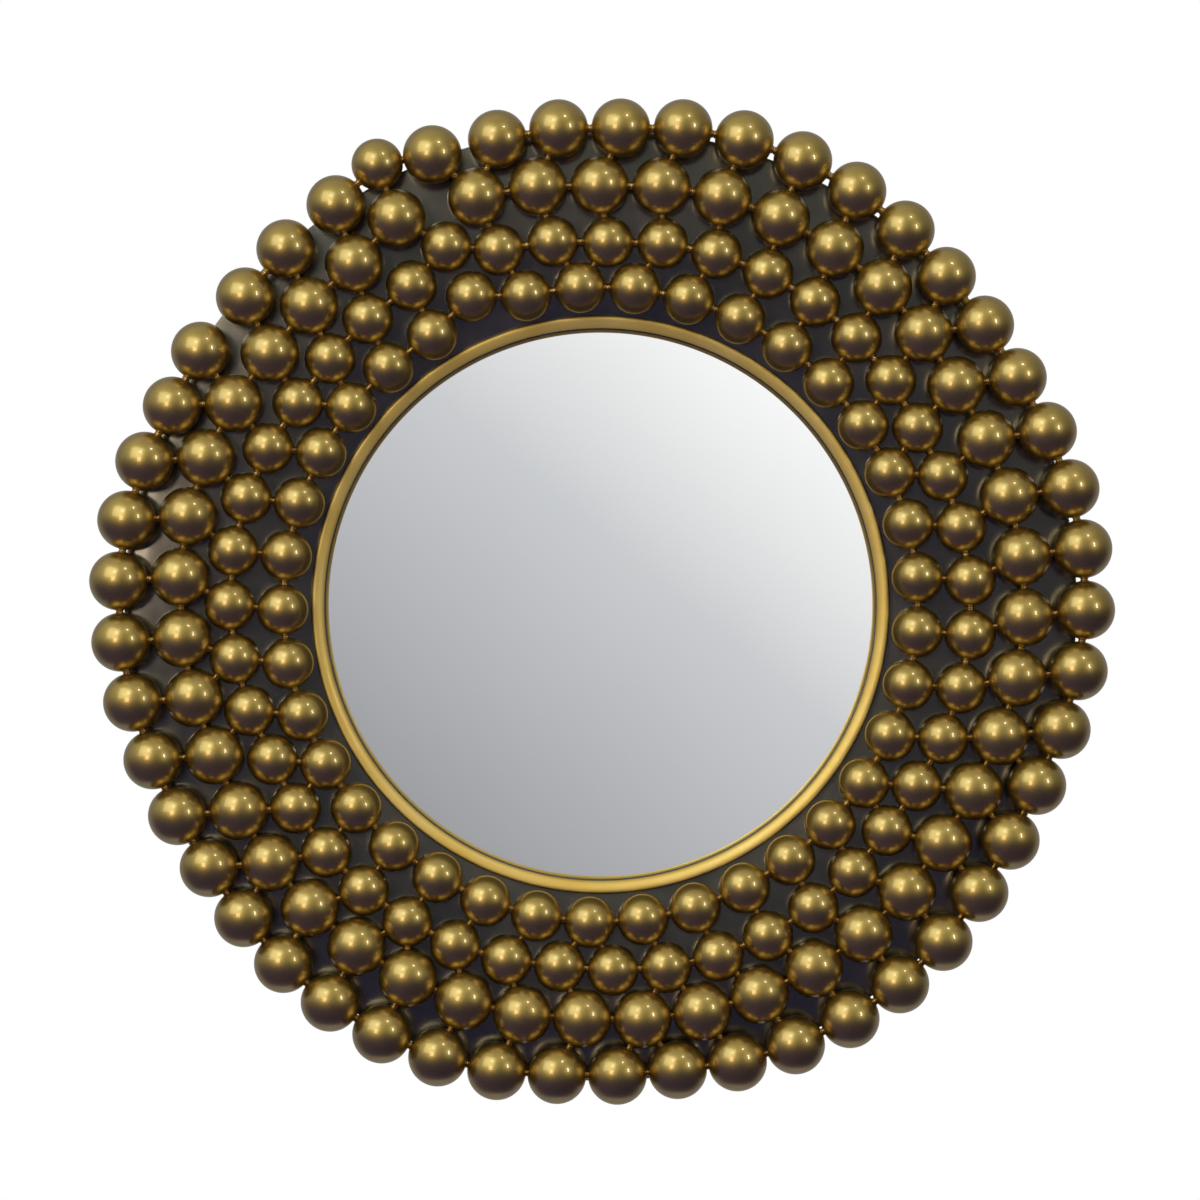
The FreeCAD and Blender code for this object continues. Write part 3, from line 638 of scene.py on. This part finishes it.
# %% Tray: lip, wall and turned-out flange
LIP_INNER, WALL_INNER, WALL_OUTER, FLANGE_OUTER = 187.7 * MM, 190.2 * MM, 191.7 * MM, 201.7 * MM
SHEET = 1.5 * MM
TRAY_ROUNDING = 0.5 * MM
tray_front, tray_rear = depths("mirror_tray")
tray_section = [
    (LIP_INNER, tray_front), (WALL_OUTER, tray_front), (WALL_OUTER, tray_rear - SHEET),
    (FLANGE_OUTER, tray_rear - SHEET), (FLANGE_OUTER, tray_rear), (WALL_INNER, tray_rear),
    (WALL_INNER, tray_front + SHEET), (LIP_INNER, tray_front + SHEET)]
tray = turned("painted_tray", rounded(tray_section, TRAY_ROUNDING), tray_paint)
keep_edges(tray)
dress(tray, "mirror_tray", slot="tray_paint")

# %% Felt on the flange
felt = flat_ring("wall_felt_ring", "wall_felt", WALL_INNER, FLANGE_OUTER, wall_felt)
dress(felt, "wall_felt", slot="wall_felt")

# %% [markdown]
# ## Solids that stay
#
# The board, brackets, hangers, tape and foam have the right shape already, and nothing on them has to
# reflect smoothly, so they keep their solids and only get a finish.

# %% Finishes on the solids
FINISH_OF = {
    "backing_board": hardboard, "board_brackets": zinc, "bracket_screws": zinc, "hanger_screws": zinc,
    "left_hanger_strap": nickel, "right_hanger_strap": nickel, "left_d_ring": nickel, "right_d_ring": nickel,
    "glass_edge_tape": wall_felt, "foam_ring": foam}
for node, finish in FINISH_OF.items():
    cad[node].data.materials.clear()
    cad[node].data.materials.append(finish)
print(len(FINISH_OF), "solids keep their shape")


# %% [markdown]
# ## Floor
#
# The mirror hangs free over a plain pale floor. The straight view from the front doesn't show it, and it
# is hidden from glossy reflections, so that the gold shows the room's dark lower part instead.

# %% Floor
FLOOR_HALF, FLOOR_HEIGHT = 3.0, -0.75
floor_finish = new_finish("floor", Roughness=0.8)
colour_by(floor_finish, noise(floor_finish, scale=3.0), (0.0, (0.80, 0.80, 0.80)), (1.0, (0.82, 0.82, 0.82)))
floor_mesh = bpy.data.meshes.new("floor")
floor_mesh.from_pydata([(x * FLOOR_HALF, y * FLOOR_HALF, FLOOR_HEIGHT)
                        for x, y in ((-1, -1), (1, -1), (1, 1), (-1, 1))], [], [(0, 1, 2, 3)])
floor_mesh.materials.append(floor_finish)
floor = add_object("floor", floor_mesh)
floor.visible_glossy = False

# %% [markdown]
# ## The room
#
# What gold shows is mostly the room around it. A photographed room could stand here, but then nothing in
# it could be changed by itself, so this room is made of directions: pale above, dark and cool below,
# darker on the right, an even grey wall behind, and a paler strip where that wall would meet the ground.
# The cool tone below turns the gold's lower halves brown instead of yellow. The camera sees plain white.
# The glass shows it a grey card that gets lighter to the upper right, and shows the balls beside it only
# dusk.

# %% Nodes of the world
world = bpy.data.worlds.new("room")
bpy.context.scene.world = world
world.use_nodes = True
link = world.node_tree.links.new


def world_node(kind, **settings):
    node = world.node_tree.nodes.new(kind)
    for key, value in settings.items():
        setattr(node, key, value)
    return node


def plain(colour):
    """A colour that is the same in all directions."""
    node = world_node("ShaderNodeRGB")
    node.outputs[0].default_value = (*colour, 1.0)
    return node.outputs[0]


def mix(factor, one, other, blend="MIX"):
    """Blend two colours. The factor is a socket or a plain number."""
    node = world_node("ShaderNodeMix", data_type="RGBA", blend_type=blend)
    if isinstance(factor, bpy.types.NodeSocket):
        link(factor, node.inputs["Factor"])
    else:
        node.inputs["Factor"].default_value = factor
    link(one, node.inputs["A"])
    link(other, node.inputs["B"])
    return node.outputs["Result"]


# %% Values and colours that follow a ray's direction
ray_direction = world_node("ShaderNodeTexCoord").outputs["Generated"]


def along(direction_vector, low, high):
    """How far a ray points along a direction, from 0 at low to 1 at high."""
    dot = world_node("ShaderNodeVectorMath", operation="DOT_PRODUCT")
    link(ray_direction, dot.inputs[0])
    dot.inputs[1].default_value = direction_vector
    mapped = world_node("ShaderNodeMapRange")
    mapped.inputs["From Min"].default_value = low
    mapped.inputs["From Max"].default_value = high
    link(dot.outputs["Value"], mapped.inputs["Value"])
    return mapped.outputs["Result"]


def shade_along(direction_vector, low, high, *stops):
    """A colour that changes along a direction. Each stop is a place from 0 at low to 1 at high."""
    node = world_node("ShaderNodeValToRGB")
    set_stops(node.color_ramp, stops)
    link(along(direction_vector, low, high), node.inputs["Fac"])
    return node.outputs["Color"]


# %% The room that the lacquers see
RIGHT, UP, BEHIND, LOW_BEHIND = (1, 0, 0), (0, 0, 1), (0, 1, 0), (0.0, 0.62, -0.78)
room = shade_along(UP, -1.0, 1.0, (0.00, (0.066, 0.056, 0.200)), (0.36, (0.062, 0.054, 0.190)),
                   (0.48, (0.160, 0.150, 0.200)), (0.62, (0.42, 0.43, 0.36)), (0.80, (0.52, 0.54, 0.44)),
                   (1.00, (0.66, 0.66, 0.54)))
darker_right = shade_along(RIGHT, -1.0, 1.0, (0.0, (1.0, 1.0, 1.0)), (0.5, (0.74, 0.74, 0.74)),
                           (1.0, (0.46, 0.46, 0.46)))
wall_below = shade_along(LOW_BEHIND, 0.80, 1.0, (0.0, (0.0, 0.0, 0.0)), (1.0, (0.60, 0.63, 0.66)))
wall_behind = shade_along(BEHIND, 0.0, 1.0, (0.2, (0.25, 0.25, 0.25)), (1.0, (0.30, 0.30, 0.30)))
room = mix(1.0, mix(1.0, room, darker_right, "MULTIPLY"), wall_below, "ADD")
room = mix(along(BEHIND, 0.15, 0.6), room, wall_behind)

# %% [markdown]
# ### What the glass and the camera see
#
# Only the glass is perfectly smooth, so a ray that left it is a singular ray, and that is how the world
# knows it. A ray that came from the camera has bounced once when it leaves the glass. A ray from a ball
# has bounced more often. So the card needs both, a singular ray and a first bounce.

# %% Card, dusk and white
CARD_TILT = math.radians(50)
FIRST_BOUNCE_DEPTH = 2.5
card = shade_along((math.cos(CARD_TILT), 0, math.sin(CARD_TILT)), -0.4, 0.4,
                   (0.0, (0.36, 0.365, 0.38)), (0.6, (0.63, 0.64, 0.655)), (0.8, (0.83, 0.83, 0.83)),
                   (1.0, (1.0, 1.0, 0.99)))
rays = world_node("ShaderNodeLightPath").outputs
first_bounce = world_node("ShaderNodeMath", operation="LESS_THAN")
link(rays["Ray Depth"], first_bounce.inputs[0])
first_bounce.inputs[1].default_value = FIRST_BOUNCE_DEPTH
in_mirror = world_node("ShaderNodeMath", operation="MULTIPLY")
link(rays["Is Singular Ray"], in_mirror.inputs[0])
link(first_bounce.outputs[0], in_mirror.inputs[1])
seen = mix(rays["Is Singular Ray"], room, plain((0.03, 0.026, 0.024)))
seen = mix(in_mirror.outputs[0], seen, card)
seen = mix(rays["Is Camera Ray"], seen, plain((1.0, 1.0, 1.0)))
background = world.node_tree.nodes["Background"].inputs
link(seen, background["Color"])
background["Strength"].default_value = 1.0
print("nodes of the world:", len(world.node_tree.nodes))


# %% [markdown]
# ## Lamps
#
# A wide window and two lamps one above the other, a little left of the viewer, make the glow on every
# ball, and a square and a tall lamp on the right make its two small glints. The real glass shows none of
# the lamps, only an even grey. So they shine on everything but the glass: they are linked to a collection
# that excludes it. The back needs a light of its own, or its paint, board and hangers would be lost in
# the dark. That one lights only the pieces that the back shows, so no ball gets a hard rim from it.

# %% What the lamps light
all_but_glass = bpy.data.collections.new("lit_by_lamps")
all_but_glass.objects.link(glass)
all_but_glass.collection_objects[0].light_linking.link_state = "EXCLUDE"
rear_side = bpy.data.collections.new("lit_from_behind")
for thing in (plate, tray, felt, *(cad[node] for node in FINISH_OF)):
    rear_side.objects.link(thing)


# %% A lamp placed by its glint
def lamp(name, glint, width, tall, radiance, colour, distance=4.0, lights=all_but_glass):
    """An area lamp that shows on every ball at the same place, so far right of and above its middle.

    The glint's place is in ball radii. Mirroring the line of sight in the ball there gives the lamp's
    direction. Its width and height are degrees, and its power follows from how bright it should look.
    """
    across, up = glint
    facing = math.sqrt(1 - across ** 2 - up ** 2)
    direction = Vector((2 * facing * across, 1 - 2 * facing ** 2, 2 * facing * up))
    light = bpy.data.lights.new(name, "AREA")
    light.shape = "RECTANGLE"
    light.size = 2 * distance * math.tan(math.radians(width / 2))
    light.size_y = 2 * distance * math.tan(math.radians(tall / 2))
    light.energy = math.pi * light.size * light.size_y * radiance
    light.color = colour
    thing = add_object(name, light)
    thing.location = direction * distance
    thing.rotation_mode = "QUATERNION"
    thing.rotation_quaternion = direction.to_track_quat("Z", "Y")
    thing.visible_camera = False
    thing.light_linking.receiver_collection = lights
    print(name, "power", round(light.energy, 1))


# %% Front and rear lamps
lamp("window", (-0.27, 0.29), 46, 38, 1.5, (0.92, 1.0, 0.90))
lamp("glow_upper", (-0.16, 0.31), 11, 11, 2.8, (0.92, 1.0, 0.92), distance=3.8)
lamp("glow_lower", (-0.20, 0.07), 14, 14, 4.6, (1.0, 0.84, 0.60), distance=3.8)
lamp("spark_round", (0.20, 0.43), 6.0, 6.0, 13, (0.96, 1.0, 1.0))
lamp("spark_tall", (0.38, 0.14), 5.5, 14.0, 11.5, (0.96, 1.0, 1.0))
lamp("rear", (-0.55, 0.72), 55, 55, 3.2, (1.0, 1.0, 1.0), lights=rear_side)

# %% [markdown]
# ## Camera
#
# The photograph looks straight at the mirror from far away. One of its 1200 pixels is 0.677 mm wide in
# the plane of the balls' middles, and the mirror's axis is half a pixel right of the picture's middle and
# 4.5 pixels below it. A long lens 6 m away gives that, with next to no perspective.

# %% Camera
PICTURE_PIXELS = 1200
PIXEL = 0.677 * MM
AXIS_RIGHT, AXIS_DOWN = 0.5 * PIXEL, 4.5 * PIXEL
CAMERA_DISTANCE = 6.0
BALL_PLANE = -45.7 * MM
camera_data = bpy.data.cameras.new("camera")
camera_data.sensor_width = 36.0
camera_data.lens = camera_data.sensor_width * CAMERA_DISTANCE / (PICTURE_PIXELS * PIXEL)
camera_data.clip_end = 100.0
camera = add_object("camera", camera_data)
camera.location = (-AXIS_RIGHT, BALL_PLANE - CAMERA_DISTANCE, AXIS_DOWN)
camera.rotation_mode = "QUATERNION"
camera.rotation_quaternion = Vector((0, -1, 0)).to_track_quat("Z", "Y")
bpy.context.scene.camera = camera
bpy.context.scene.view_settings.view_transform = "Standard"
print("lens", round(camera_data.lens, 1), "mm")
